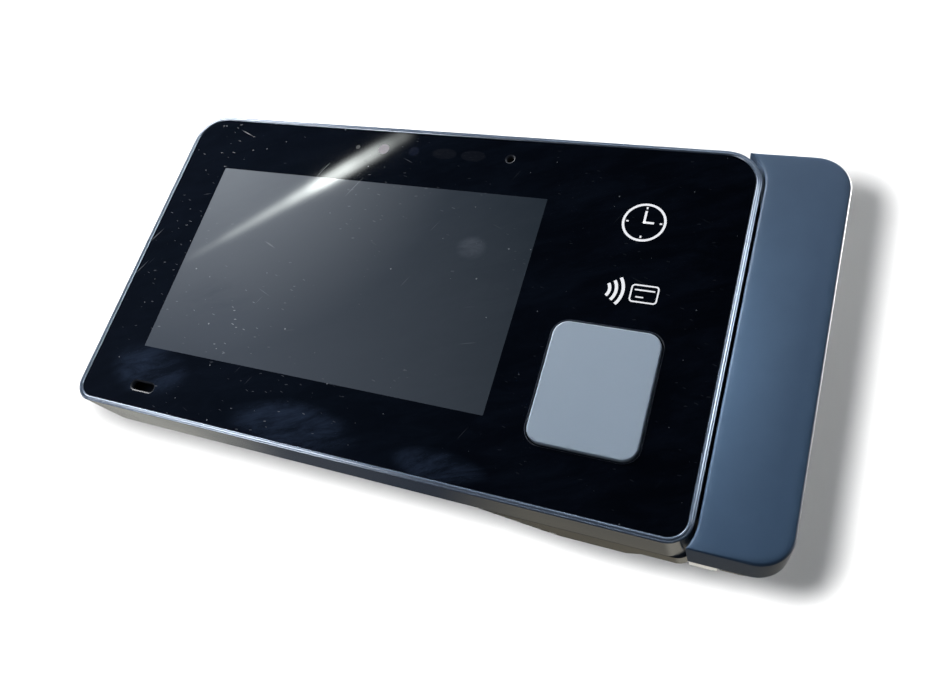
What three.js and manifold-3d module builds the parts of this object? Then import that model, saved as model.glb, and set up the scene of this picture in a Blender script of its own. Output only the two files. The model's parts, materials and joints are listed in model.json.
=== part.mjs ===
// Wall-mounted biometric time terminal with a 7-inch display, a square reader pad
// and a card-swipe module on its right-hand side.
//
// Millimetres. +X runs to the viewer's right, +Z up and +Y into the wall.
// Inside the assembly group y is the depth behind the glass (0 at the front), and
// the group is shifted so that the back of the wall plate lies in the plane y = 0.

import * as THREE from 'three';
import { mergeVertices } from 'three/addons/utils/BufferGeometryUtils.js';
import Module from 'manifold-3d';

const wasm = await Module();
wasm.setup();

// ---------------------------------------------------------------- driving dimensions

const overallWidth = 284;
const overallHeight = 145.6;
const overallDepth = 43;

const left = -overallWidth / 2;
const right = overallWidth / 2;
const top = overallHeight / 2;
const bottom = -top;

const cornerTop = 14.5;
const cornerBottom = 8.5;
const swipeCornerTop = 13;
const swipeCornerBottom = 11;
const rearBlockCorner = 6;
const touchGap = 0.3;

const slotWidth = 1;
const slotCentre = 113.3;
const mainRight = slotCentre - slotWidth / 2;
const swipeLeft = slotCentre + slotWidth / 2;

const border = 1.85;
const seamDepth = 24.6;
const wall = 2.2;

const glassFront = 0.3;
const glassThickness = 2;
const behindGlass = glassFront + glassThickness + touchGap;

const windowWidth = 154.1;
const windowHeight = 89.7;
const windowX = -40.6;
const windowZ = 0;

const padWidth = 38.5;
const padHeight = 46;
const padCorner = 5.5;
const padX = 72.2;
const padZ = -27.5;
const padGap = 0.7;
const padProud = 0.9;

const sensorRowZ = 61.8;
const statusLedX = -54.3;
const lightSensorX = -41.6;
const cameraX = -27.1;
const presenceLeftX = -12.9;
const presenceRightX = 0;
const microphoneX = 16.2;

const speakerX = -109.6;
const speakerZ = -62;
const speakerSlotWidth = 11;
const speakerSlotHeight = 3.4;
const microphoneHoleRadius = 1.4;

const boardFront = 14.2;
const boardThickness = 1.6;
const boardBack = boardFront + boardThickness;

const standoffPlaces = [[-112, 44], [26, 44], [-112, -44], [26, -44]];

const tubInset = 12;
const rearStart = seamDepth + touchGap;
const brimThickness = 2.5;
const brimBack = rearStart + brimThickness;
const tubBack = 38;
const lowerBlockBack = 36;

const plateThickness = 1.5;
const plateFront = overallDepth - plateThickness;
const hookTravel = 12;
const lockX = -30;
const lockDepth = 35;
const plungerX = 9;
const plungerZ = -24;

// ---------------------------------------------------------------- materials

const plain = (color, roughness, metalness = 0) =>
  new THREE.MeshStandardMaterial({ color, roughness, metalness });

const look = {
  frame: plain(0x5b6b80, 0.45),
  softTouch: plain(0x425468, 0.7),
  darkShell: plain(0x4a5160, 0.6),
  glass: plain(0x05070c, 0.08),
  display: plain(0x3c434b, 0.2),
  pad: plain(0x909daa, 0.5),
  steel: plain(0xb9bcc0, 0.3, 1),
  tray: plain(0x9a9da1, 0.4, 1),
  board: plain(0x1f5136, 0.55),
  chip: plain(0x1a1a1c, 0.5),
  connector: plain(0x2b2b2e, 0.6),
  foam: plain(0x1c1c1e, 0.95),
  screw: plain(0x8d9096, 0.35, 1),
  brass: plain(0xb08d4a, 0.35, 1),
  film: plain(0xa0522d, 0.5),
  battery: plain(0x3a4a6a, 0.5),
  lens: plain(0x0a0d14, 0.05),
  light: plain(0xd9e6dc, 0.3),
};

// ---------------------------------------------------------------- geometry helpers

// Closed outline with its own radius at the top and at the bottom corners.
function roundedOutline(x0, x1, z0, z1, radiusTop, radiusBottom = radiusTop) {
  const outline = new THREE.Shape();
  outline.moveTo((x0 + x1) / 2, z0);
  outline.lineTo(x1 - radiusBottom, z0);
  outline.absarc(x1 - radiusBottom, z0 + radiusBottom, radiusBottom, -Math.PI / 2, 0);
  outline.lineTo(x1, z1 - radiusTop);
  outline.absarc(x1 - radiusTop, z1 - radiusTop, radiusTop, 0, Math.PI / 2);
  outline.lineTo(x0 + radiusTop, z1);
  outline.absarc(x0 + radiusTop, z1 - radiusTop, radiusTop, Math.PI / 2, Math.PI);
  outline.lineTo(x0, z0 + radiusBottom);
  outline.absarc(x0 + radiusBottom, z0 + radiusBottom, radiusBottom, Math.PI, Math.PI * 1.5);
  return outline;
}

// Rounded rectangle given by its centre and size.
function centredOutline(x, z, width, height, radius) {
  return roundedOutline(x - width / 2, x + width / 2, z - height / 2, z + height / 2, radius);
}

// Outline of the main body, moved inwards by an inset.
function mainOutline(inset) {
  return roundedOutline(
    left + inset, mainRight - inset, bottom + inset, top - inset,
    Math.max(cornerTop - inset, 1.5), Math.max(cornerBottom - inset, 1.5),
  );
}

// Manifold solid from any closed three.js geometry.
function solid(geometry) {
  const bare = geometry.clone();
  bare.deleteAttribute('normal');
  bare.deleteAttribute('uv');
  const merged = mergeVertices(bare, 1e-4);
  return new wasm.Manifold(new wasm.Mesh({
    numProp: 3,
    vertProperties: new Float32Array(merged.attributes.position.array),
    triVerts: new Uint32Array(merged.index.array),
  }));
}

// Three.js geometry from a manifold solid.
function geometryOf(body) {
  const data = body.getMesh();
  const geometry = new THREE.BufferGeometry();
  geometry.setAttribute('position', new THREE.BufferAttribute(new Float32Array(data.vertProperties), 3));
  geometry.setIndex(new THREE.BufferAttribute(new Uint32Array(data.triVerts), 1));
  geometry.computeVertexNormals();
  return geometry;
}

const join = (first, ...others) => others.reduce((sum, other) => sum.add(other), first);
const cut = (first, ...others) => others.reduce((rest, other) => rest.subtract(other), first);

// Outline in the X-Z plane, extruded from one depth to another.
function slab(outline, front, back, curveSegments = 4) {
  const geometry = new THREE.ExtrudeGeometry(outline, {
    depth: back - front, bevelEnabled: false, curveSegments,
  });
  geometry.rotateX(Math.PI / 2);
  geometry.translate(0, back, 0);
  return solid(geometry);
}

// The same, with a chamfer round its front edge.
function chamferedSlab(outline, front, back, chamfer) {
  const geometry = new THREE.ExtrudeGeometry(outline, {
    depth: back - front - chamfer, bevelThickness: chamfer, bevelSize: chamfer,
    bevelOffset: -chamfer, bevelSegments: 1, curveSegments: 4,
  });
  geometry.rotateX(Math.PI / 2);
  geometry.translate(0, back, 0);
  const keep = block(left - 10, right + 10, front - 1, back, bottom - 10, top + 10);
  return solid(geometry).intersect(keep);
}

// Axis-aligned box from its limits.
function block(x0, x1, front, back, z0, z1) {
  const geometry = new THREE.BoxGeometry(x1 - x0, back - front, z1 - z0);
  geometry.translate((x0 + x1) / 2, (front + back) / 2, (z0 + z1) / 2);
  return solid(geometry);
}

// Cylinder whose axis runs front to back.
function rod(x, z, radius, front, back, sides = 16) {
  const geometry = new THREE.CylinderGeometry(radius, radius, back - front, sides);
  geometry.translate(x, (front + back) / 2, z);
  return solid(geometry);
}

// Cylinder whose axis runs upwards.
function post(x, depth, radius, z0, z1, sides = 20) {
  const geometry = new THREE.CylinderGeometry(radius, radius, z1 - z0, sides);
  geometry.rotateX(Math.PI / 2);
  geometry.translate(x, depth, (z0 + z1) / 2);
  return solid(geometry);
}

// ---------------------------------------------------------------- scene graph

const assembly = new THREE.Group();
assembly.position.y = -overallDepth;

const wallMount = new THREE.Group();
const terminal = new THREE.Group();
const swipeModule = new THREE.Group();
terminal.add(swipeModule);
assembly.add(wallMount, terminal);

function place(group, name, shape, material, x = 0, depth = 0, z = 0) {
  const geometry = shape.isBufferGeometry ? shape : geometryOf(shape);
  const mesh = new THREE.Mesh(geometry, material);
  mesh.name = name;
  mesh.position.set(x, depth, z);
  group.add(mesh);
  return mesh;
}

// ---------------------------------------------------------------- front of the terminal

const frameBosses = [
  [left + 7.5, top - 8.5], [40, top - 6.5], [mainRight - 9, top - 8.5],
  [left + 7.5, bottom + 8.5], [-60, bottom + 6.5], [mainRight - 9, bottom + 8.5],
];
const bossRadius = 3.4;
const ledgeWidth = 4;
const ledgeThickness = 1.6;

// Ring with the visible bezel, the side walls, the ledge behind the glass and the screw bosses.
function frontFrame() {
  const pilotRadius = 1.2;
  const shell = cut(
    chamferedSlab(mainOutline(0), 0, seamDepth, 0.8),
    slab(mainOutline(border), -1, seamDepth + 1),
  );
  const ledge = cut(
    slab(mainOutline(border - 0.3), behindGlass, behindGlass + ledgeThickness),
    slab(mainOutline(border + ledgeWidth), 0, seamDepth),
  );
  const bosses = frameBosses.map(([x, z]) => rod(x, z, bossRadius, behindGlass + 0.2, seamDepth, 16));
  const webs = frameBosses.map(([x, z]) => {
    const outward = z > 0 ? top - 1 : bottom + 1;
    return block(x - 0.8, x + 0.8, behindGlass + 0.2, seamDepth, Math.min(z, outward), Math.max(z, outward));
  });
  const pilots = frameBosses.map(([x, z]) => rod(x, z, pilotRadius, 8, seamDepth + 1, 12));
  return cut(join(shell, ledge, ...bosses, ...webs), ...pilots);
}

// Cover glass with cut-outs for the reader pad, the speaker slot and the microphone.
function coverGlass() {
  const clearance = 0.15;
  const backFace = glassFront + glassThickness;
  return cut(
    slab(mainOutline(border + clearance), glassFront, backFace),
    slab(centredOutline(padX, padZ, padWidth + 2 * padGap, padHeight + 2 * padGap, padCorner + padGap),
      0, backFace + 1),
    slab(centredOutline(speakerX, speakerZ, speakerSlotWidth, speakerSlotHeight, 1.65), 0, backFace + 1),
    rod(microphoneX, sensorRowZ, microphoneHoleRadius, 0, backFace + 1, 24),
  );
}

const panelWidth = 164.9;
const panelHeight = 100;
const panelThickness = 2.6;
const panelBack = behindGlass + 0.8 + panelThickness;

// Foam ring between the glass and the display.
function displayGasket() {
  return cut(
    slab(centredOutline(windowX, windowZ, panelWidth - 1, panelHeight - 1, 2), behindGlass, behindGlass + 0.5),
    slab(centredOutline(windowX, windowZ, windowWidth + 1, windowHeight + 1, 1), 0, behindGlass + 1),
  );
}

function displayPanel() {
  return slab(centredOutline(windowX, windowZ, panelWidth, panelHeight, 0.8), behindGlass + 0.8, panelBack);
}

// Pressed tray that carries the display and its backlight.
function displayTray() {
  const front = panelBack + touchGap;
  const back = 9;
  const ears = [-1, 1].flatMap((sideX) => [-1, 1].map((sideZ) => {
    const x = windowX + sideX * (panelWidth / 2 - 34);
    const z = windowZ + sideZ * (panelHeight / 2 + 2);
    return cut(block(x - 4, x + 4, back - 1, back, z - 3, z + 3), rod(x, z + sideZ, 1.2, back - 2, back + 1, 12));
  }));
  return join(slab(centredOutline(windowX, windowZ, panelWidth, panelHeight, 1), front, back), ...ears);
}

// ---------------------------------------------------------------- sensor row

const sensorBoardFront = 8.3;

function sensorBoard() {
  const thickness = 1.2;
  return slab(roundedOutline(-62, 24, sensorRowZ - 5.5, sensorRowZ + 5, 1),
    sensorBoardFront, sensorBoardFront + thickness);
}

// Square camera body with a stepped lens barrel that looks through the glass.
function cameraModule() {
  const barrel = [
    [0, 0], [2.4, 0], [2.4, 1.6], [3.1, 1.6], [3.1, 3], [0, 3],
  ].map(([radius, depth]) => new THREE.Vector2(radius, depth));
  const lens = new THREE.LatheGeometry(barrel, 20);
  const body = new THREE.BoxGeometry(8, 2.4, 8);
  body.translate(0, 4.15, 0);
  return join(solid(lens), solid(body));
}

// Domed infrared emitter and receiver package behind one smoked oval.
function presenceSensor() {
  const body = slab(centredOutline(0, 0, 9.4, 4.8, 2.3), 1.2, 5.2, 5);
  const domes = [-2.3, 2.3].map((x) => {
    const dome = new THREE.SphereGeometry(1.5, 10, 6);
    dome.translate(x, 1.4, 0);
    return solid(dome);
  });
  return join(body, ...domes);
}

function lightSensor() {
  const cover = [
    [0, 0], [1.9, 0.4], [2.3, 1.2], [2.3, 5.3], [0, 5.3],
  ].map(([radius, depth]) => new THREE.Vector2(radius, depth));
  return solid(new THREE.LatheGeometry(cover, 20));
}

function statusLed() {
  const body = [
    [0, 0], [0.7, 0.3], [1, 1], [1, 4], [1.5, 4], [1.5, 5.3], [0, 5.3],
  ].map(([radius, depth]) => new THREE.Vector2(radius, depth));
  return solid(new THREE.LatheGeometry(body, 16));
}

function microphone() {
  return join(rod(0, 0, 2.4, 0, 3.2), rod(0, 0, 1.6, 3, 3.8));
}

function ring(outer, inner, front, back) {
  return cut(rod(0, 0, outer, front, back, 24), rod(0, 0, inner, front - 1, back + 1, 24));
}

// ---------------------------------------------------------------- speaker and reader

const speakerFront = behindGlass + 2.2;

function speaker() {
  const basket = slab(centredOutline(speakerX, speakerZ + 1.5, 30, 11.5, 3), speakerFront, speakerFront + 6);
  const magnet = slab(centredOutline(speakerX, speakerZ + 1.5, 12, 9, 2), speakerFront + 5.8, speakerFront + 8);
  return join(basket, magnet);
}

// Foam seal from the slot in the glass to the speaker.
function speakerGasket() {
  return cut(
    slab(centredOutline(speakerX, speakerZ + 1.5, 20, 9.5, 3), behindGlass, speakerFront - touchGap),
    slab(centredOutline(speakerX, speakerZ + 0.4, 14, 5.4, 2), 0, speakerFront + 1),
  );
}

const padBack = 5.2;

// Raised pad: crowned face, with a flange behind the glass that keeps it in.
function readerPad() {
  const flange = 2.2;
  const face = new THREE.ExtrudeGeometry(centredOutline(padX, padZ, padWidth, padHeight, padCorner), {
    depth: padBack - glassFront + padProud - 0.6, bevelThickness: 0.6, bevelSize: 0.6,
    bevelOffset: -0.6, bevelSegments: 1, curveSegments: 4,
  });
  face.rotateX(Math.PI / 2);
  face.translate(0, padBack, 0);
  const keep = block(padX - 40, padX + 40, -5, padBack, padZ - 40, padZ + 40);
  const lip = slab(
    centredOutline(padX, padZ, padWidth + 2 * flange, padHeight + 2 * flange, padCorner + flange),
    behindGlass + 0.9, padBack,
  );
  return join(solid(face).intersect(keep), lip);
}

function readerPadGasket() {
  const outer = centredOutline(padX, padZ, padWidth + 6, padHeight + 6, padCorner + 3);
  const inner = centredOutline(padX, padZ, padWidth + 0.8, padHeight + 0.8, padCorner + 0.4);
  return cut(slab(outer, behindGlass, behindGlass + 0.6), slab(inner, 0, behindGlass + 1));
}

// Sensor and antenna board behind the pad.
function readerBoard() {
  const front = padBack + touchGap;
  const board = slab(centredOutline(padX, padZ, 46, 54, 2), front, front + 1.4);
  const chip = block(padX - 7, padX + 7, front + 1.2, front + 3, padZ - 7, padZ + 7);
  return join(board, chip);
}

// ---------------------------------------------------------------- chassis and electronics

// Pressed steel plate that carries the display, the boards and the battery.
function midChassis() {
  const front = 10;
  const back = 11.2;
  const bossClearance = frameBosses.map(([x, z]) => rod(x, z, bossRadius + 0.6, front - 1, back + 1, 16));
  const webClearance = frameBosses.map(([x, z]) => {
    const outward = z > 0 ? top : bottom;
    return block(x - 1.3, x + 1.3, front - 1, back + 1, Math.min(z, outward), Math.max(z, outward));
  });
  const speakerHole = slab(centredOutline(speakerX, speakerZ + 1.5, 33, 15, 3), front - 1, back + 1);
  const ribbonHole = block(-63, -27, front - 1, back + 1, -58, -38);
  const standoffs = standoffPlaces.map(
    ([x, z]) => rod(x, z, 2.6, back - 0.2, boardFront - touchGap, 12),
  );
  const flatPlate = cut(slab(mainOutline(4.6), front, back), ...bossClearance, ...webClearance,
    speakerHole, ribbonHole);
  return join(flatPlate, ...standoffs);
}

function mainBoard() {
  const board = slab(roundedOutline(-118, 34, -50, 50, 2), boardFront, boardBack);
  const holes = standoffPlaces.map(([x, z]) => rod(x, z, 1.6, boardFront - 1, boardBack + 1, 12));
  return cut(board, ...holes);
}

const partsFront = boardBack + touchGap;

function processorShield() {
  const x = -88;
  const z = 22;
  const cap = slab(centredOutline(x, z, 34, 34, 1.5), partsFront, partsFront + 3);
  const fins = [-12, -6, 0, 6, 12].map((offset) => block(
    x + offset - 1, x + offset + 1, partsFront + 2.8, partsFront + 6, z - 14, z + 14,
  ));
  return join(cap, ...fins);
}

// Eight-way network socket with its mouth facing down.
function ethernetSocket() {
  const body = block(-56, -40, partsFront, partsFront + 13.4, -10, 11);
  const mouth = block(-53.9, -42.1, partsFront + 3.4, partsFront + 11.4, -11, 4);
  const latchSlot = block(-50, -46, partsFront + 1.4, partsFront + 3.6, -11, 4);
  return cut(body, mouth, latchSlot);
}

// Small service port with its mouth facing down.
function servicePort() {
  const shell = block(-34, -26, partsFront, partsFront + 3.2, -10, -4);
  const mouth = block(-33.4, -26.6, partsFront + 0.6, partsFront + 2.6, -11, -5);
  return cut(shell, mouth);
}

// Two-way screw terminal for the supply.
function powerTerminal() {
  const body = block(-24, -13.6, partsFront, partsFront + 10, -10, 0);
  const wireEntries = [-21.4, -16.2].map((x) => block(x - 1.4, x + 1.4, partsFront + 1.5, partsFront + 5, -11, -4));
  const screwWells = [-21.4, -16.2].map((x) => rod(x, -5, 1.7, partsFront + 7.4, partsFront + 11, 16));
  return cut(body, ...wireEntries, ...screwWells);
}

const coinCellX = 14;
const coinCellZ = 26;
const coinCellRadius = 10;

function coinCellHolder() {
  return cut(
    rod(coinCellX, coinCellZ, coinCellRadius + 2, partsFront, partsFront + 4.6, 32),
    rod(coinCellX, coinCellZ, coinCellRadius + 0.4, partsFront + 1.2, partsFront + 6, 32),
  );
}

function coinCell() {
  return rod(coinCellX, coinCellZ, coinCellRadius, partsFront + 1.5, partsFront + 4.5, 32);
}

function backupBattery() {
  return slab(centredOutline(68, 20, 50, 46, 3), 11.5, 24);
}

// Thin flat cable that folds round the lower edge of the board.
function displayRibbon() {
  const nearFront = 9.3;
  const farBack = partsFront + 0.3;
  const outer = (farBack - nearFront) / 2;
  const thickness = 0.3;
  const bendZ = -52;
  const bendDepth = nearFront + outer;
  const section = new THREE.Shape();
  section.moveTo(nearFront, -40);
  section.lineTo(nearFront, bendZ);
  section.absarc(bendDepth, bendZ, outer, Math.PI, Math.PI * 2, false);
  section.lineTo(farBack, -43);
  section.lineTo(farBack - thickness, -43);
  section.lineTo(farBack - thickness, bendZ);
  section.absarc(bendDepth, bendZ, outer - thickness, Math.PI * 2, Math.PI, true);
  section.lineTo(nearFront + thickness, -40);
  const ribbonWidth = 30;
  const geometry = new THREE.ExtrudeGeometry(section, { depth: ribbonWidth, bevelEnabled: false, curveSegments: 8 });
  // Section x is depth and section y is height: turn the extrusion onto the X axis.
  const turn = new THREE.Matrix4().makeBasis(
    new THREE.Vector3(0, 1, 0), new THREE.Vector3(0, 0, 1), new THREE.Vector3(1, 0, 0),
  );
  geometry.applyMatrix4(turn);
  geometry.translate(-60, 0, 0);
  return solid(geometry);
}

// ---------------------------------------------------------------- rear housing

const hookPlaces = [[-92, 36], [28, 36], [-92, -34], [28, -34]];
const hookWidth = 8;
const swipeLinkZ = 26;
const bracketThickness = 1.5;
const rearCoverLeft = 121.4;
const rearCoverBack = 34.5;

// Lower right of the back, flush with the frame, with a foot that bears on the wall.
function lowerBlock() {
  const frontFace = brimBack - 0.2;
  const blockRight = mainRight + 1;
  const section = new THREE.Shape();
  section.moveTo(36, rearStart);
  section.lineTo(blockRight, rearStart);
  section.lineTo(blockRight, lowerBlockBack);
  section.lineTo(95, lowerBlockBack);
  section.lineTo(89, overallDepth - 0.4);
  section.lineTo(64, overallDepth - 0.4);
  section.lineTo(53, lowerBlockBack);
  const geometry = new THREE.ExtrudeGeometry(section, {
    depth: tubInset + 1, bevelEnabled: false,
  });
  geometry.translate(0, 0, bottom);
  const body = roundedOutline(left, mainRight, bottom, top, cornerTop, rearBlockCorner);
  const flush = solid(geometry).intersect(slab(body, rearStart, overallDepth, 10));
  return join(flush, block(37, 41, frontFace, frontFace + 0.5, bottom + 2, bottom + 12));
}

function rearHousing() {
  const brimInset = 1.6;
  const brim = slab(mainOutline(brimInset), rearStart, brimBack, 8);
  const tub = slab(mainOutline(tubInset), rearStart, tubBack, 8);
  const cavity = slab(mainOutline(tubInset + wall), rearStart - 1, tubBack - wall);
  const lockBoss = post(lockX, lockDepth, 3.6, bottom + tubInset + 0.5, bottom + tubInset + 9, 16);
  const lockHole = post(lockX, lockDepth, 1.8, bottom + tubInset - 1, bottom + tubInset + 10, 16);
  const cableWindow = slab(roundedOutline(-60, -12, -36, 10, 3), tubBack - wall - 1, tubBack + 1, 6);
  const hookSlots = hookPlaces.map(([x, z]) => block(
    x - hookWidth / 2 - 0.6, x + hookWidth / 2 + 0.6, tubBack - wall - 1, tubBack + 1,
    z - hookTravel - 1, z + plateThickness + touchGap,
  ));
  const vents = Array.from({ length: 9 }, (_, index) => block(
    48 + index * 5 - 1, 48 + index * 5 + 1, tubBack - wall - 1, tubBack + 1, 22, 44,
  ));
  const screwHoles = frameBosses.map(([x, z]) => rod(x, z, 1.7, rearStart - 1, tubBack + 1, 14));
  const screwWells = frameBosses.map(([x, z]) => rod(x, z, 3.4, brimBack, overallDepth + 1, 28));
  const linkHoles = swipeScrewPlaces.map(([x, z]) => rod(x, z, 1.3, rearStart + 0.4, brimBack + 1, 12));
  const plungerHole = rod(plungerX, plungerZ, 2.9, tubBack - wall - 1, tubBack + 1, 20);
  const bridgeFront = brimBack + touchGap + bracketThickness + touchGap;
  const cableBridge = block(mainRight - tubInset - 0.5, rearCoverLeft - touchGap, bridgeFront, 33.4,
    swipeLinkZ - 8, swipeLinkZ + 8);
  const cableHole = block(mainRight - tubInset - wall - 1, rearCoverLeft + 1, 30.3, 32.1,
    swipeLinkZ - 5.8, swipeLinkZ + 5.8);
  return cut(
    join(cut(join(brim, tub, lowerBlock()), cavity), lockBoss, cableBridge),
    lockHole, cableWindow, ...hookSlots, ...vents, ...screwHoles, ...screwWells, ...linkHoles,
    plungerHole, cableHole,
  );
}

// Pan-head screw that points to the front, its head seated at the origin.
function housingScrew(headRadius, shankRadius, length) {
  const profile = [
    [0, -length], [shankRadius * 0.7, -length], [shankRadius, -length + 1], [shankRadius, 0],
    [headRadius, 0], [headRadius, 1.2], [headRadius * 0.8, 1.9], [0, 1.9],
  ].map(([radius, depth]) => new THREE.Vector2(radius, depth));
  const drive = new THREE.CylinderGeometry(headRadius * 0.45, headRadius * 0.45, 1.6, 6);
  drive.translate(0, 1.8, 0);
  return cut(solid(new THREE.LatheGeometry(profile, 20)), solid(drive));
}

// ---------------------------------------------------------------- tamper switch

const plungerShoulder = 33.6;

function tamperPlunger() {
  const profile = [
    [0, 30], [1.4, 30], [1.4, 32.4], [4, 32.4], [4, plungerShoulder + 1.6], [2.6, plungerShoulder + 1.6],
    [2.6, 41.6], [1.8, 42.6], [0, 42.6],
  ].map(([radius, depth]) => new THREE.Vector2(radius, depth));
  return solid(new THREE.LatheGeometry(profile, 16));
}

class Helix extends THREE.Curve {
  constructor(radius, turns, start, end) {
    super();
    Object.assign(this, { radius, turns, start, end });
  }

  getPoint(t, target = new THREE.Vector3()) {
    const angle = t * this.turns * Math.PI * 2;
    const depth = this.start + t * (this.end - this.start);
    return target.set(this.radius * Math.cos(angle), depth, this.radius * Math.sin(angle));
  }
}

function polygonSection(radius, sides) {
  const corners = Array.from({ length: sides }, (_, index) => {
    const angle = (index / sides) * Math.PI * 2;
    return new THREE.Vector2(radius * Math.cos(angle), radius * Math.sin(angle));
  });
  return new THREE.Shape(corners);
}

function tamperSpring() {
  const turns = 5;
  const geometry = new THREE.ExtrudeGeometry(polygonSection(0.3, 6), {
    extrudePath: new Helix(2.6, turns, 20.6, 31.7), steps: turns * 10,
  });
  return solid(geometry);
}

function tamperSwitch() {
  const seat = block(-3.6, 3.6, partsFront, 20, -3.6, 3.6);
  const stem = rod(0, 0, 1.2, 19.8, 27.5, 14);
  return join(seat, stem);
}

// ---------------------------------------------------------------- wall plate

// Steel plate with four hooks, a cable window, fixing slots and the locking flange.
function wallPlate() {
  const x0 = -112;
  const x1 = 48;
  const flat = slab(roundedOutline(x0, x1, -56, 56, 6), plateFront, overallDepth, 8);
  const cableWindow = slab(roundedOutline(-66, -8, -42, 18, 4), plateFront - 1, overallDepth + 1, 6);
  const plungerSlot = slab(
    roundedOutline(plungerX - 4, plungerX + 4, plungerZ - 4.5, plungerZ + hookTravel + 4.5, 3.9),
    plateFront - 1, overallDepth + 1,
  );
  const fixings = [[x0 + 9, 48], [x1 - 9, 48], [x0 + 9, -48], [x1 - 9, -48]].map(
    ([x, z]) => slab(centredOutline(x, z, 9, 4.6, 2.25), plateFront - 1, overallDepth + 1, 5),
  );
  const lances = hookPlaces.map(([x, z]) => block(
    x - hookWidth / 2 - 1, x + hookWidth / 2 + 1, plateFront - 1, overallDepth + 1,
    z + plateThickness, z + 14,
  ));
  const lipFront = tubBack - wall - touchGap - plateThickness;
  const hooks = hookPlaces.flatMap(([x, z]) => [
    block(x - hookWidth / 2, x + hookWidth / 2, lipFront, plateFront + 0.2, z, z + plateThickness),
    block(x - hookWidth / 2, x + hookWidth / 2, lipFront, lipFront + plateThickness, z, z + 8),
  ]);
  const flangeTop = bottom + tubInset - 2.6;
  const tongue = block(lockX - 15, lockX + 15, plateFront, overallDepth, flangeTop - plateThickness, -55);
  const flange = block(lockX - 15, lockX + 15, 29, plateFront + 0.2, flangeTop - plateThickness, flangeTop);
  const screwHole = post(lockX, lockDepth, 2, flangeTop - 5, flangeTop + 3, 16);
  return cut(join(cut(flat, cableWindow, plungerSlot, ...fixings, ...lances), ...hooks, tongue, flange), screwHole);
}

function lockingScrew() {
  const seat = bottom + tubInset - 2.6 - plateThickness - touchGap;
  const profile = [
    [0, -2.2], [2.4, -2.2], [3, -1.4], [3, 0], [1.45, 0], [1.45, 10.4], [0.9, 11.2], [0, 11.2],
  ].map(([radius, height]) => new THREE.Vector2(radius, height));
  const geometry = new THREE.LatheGeometry(profile, 12);
  geometry.rotateX(Math.PI / 2);
  const drive = new THREE.CylinderGeometry(1.2, 1.2, 1.4, 6);
  drive.rotateX(Math.PI / 2);
  drive.translate(0, 0, -2.2);
  return cut(solid(geometry), solid(drive)).translate([lockX, lockDepth, seat]);
}

// ---------------------------------------------------------------- swipe module

const flareRadius = 18;
const flareStartTop = 58.4;
const flareStartBottom = -64;
const swipeWall = 1.8;
const swipeScrewPlaces = [[106.6, 44], [106.6, -36]];
const coverScrewPlaces = [[131, 58], [131, -58]];
const headZ = -6;

// Outline of the swipe module: its slot edge is straight, then flares round the body's corners.
function swipeOutline(inset, flare = true) {
  const x0 = swipeLeft + inset;
  const x1 = right - inset;
  const z0 = bottom + inset;
  const z1 = top - inset;
  const radiusTop = swipeCornerTop - inset;
  const radiusBottom = swipeCornerBottom - inset;
  const outline = new THREE.Shape();
  const arc = flareRadius + inset;
  const centreX = x0 - arc;
  const reachBottom = Math.asin((flareStartBottom - z0) / arc);
  const reachTop = Math.asin((z1 - flareStartTop) / arc);
  outline.moveTo(x0, 0);
  if (flare) {
    outline.absarc(centreX, flareStartBottom, arc, 0, -reachBottom, true);
  } else {
    outline.lineTo(x0, z0);
  }
  outline.lineTo(x1 - radiusBottom, z0);
  outline.absarc(x1 - radiusBottom, z0 + radiusBottom, radiusBottom, -Math.PI / 2, 0);
  outline.lineTo(x1, z1 - radiusTop);
  outline.absarc(x1 - radiusTop, z1 - radiusTop, radiusTop, 0, Math.PI / 2);
  if (flare) {
    outline.lineTo(centreX + arc * Math.cos(reachTop), z1);
    outline.absarc(centreX, flareStartTop, arc, reachTop, 0, true);
  } else {
    outline.lineTo(x0, z1);
  }
  return outline;
}

// Front shell, open at the back, with a window for the read head in its slot wall.
function swipeCover() {
  const shell = cut(
    chamferedSlab(swipeOutline(0), 0, seamDepth, 0.5),
    slab(swipeOutline(swipeWall, false), swipeWall, seamDepth + 1),
  );
  const bosses = coverScrewPlaces.map(([x, z]) => rod(x, z, 3.2, swipeWall - 0.5, seamDepth, 16));
  const pilots = coverScrewPlaces.map(([x, z]) => rod(x, z, 1.2, 10, seamDepth + 1, 12));
  const headWindow = block(swipeLeft - 1, swipeLeft + swipeWall + 1, 10.6, 21.4, headZ - 6.6, headZ + 6.6);
  return cut(join(shell, ...bosses), ...pilots, headWindow);
}

// Small corners beside the slot, large ones along the outer edge.
function rearCoverOutline(inset) {
  const margin = 1.2;
  const x0 = rearCoverLeft + inset;
  const x1 = right - margin - inset;
  const z0 = bottom + margin + inset;
  const z1 = top - margin - inset;
  const outer = 13 - inset;
  const outline = new THREE.Shape();
  outline.moveTo(x0, z0);
  outline.lineTo(x1 - outer, z0);
  outline.absarc(x1 - outer, z0 + outer, outer, -Math.PI / 2, 0);
  outline.lineTo(x1, z1 - outer);
  outline.absarc(x1 - outer, z1 - outer, outer, 0, Math.PI / 2);
  outline.lineTo(x0, z1);
  return outline;
}

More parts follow.
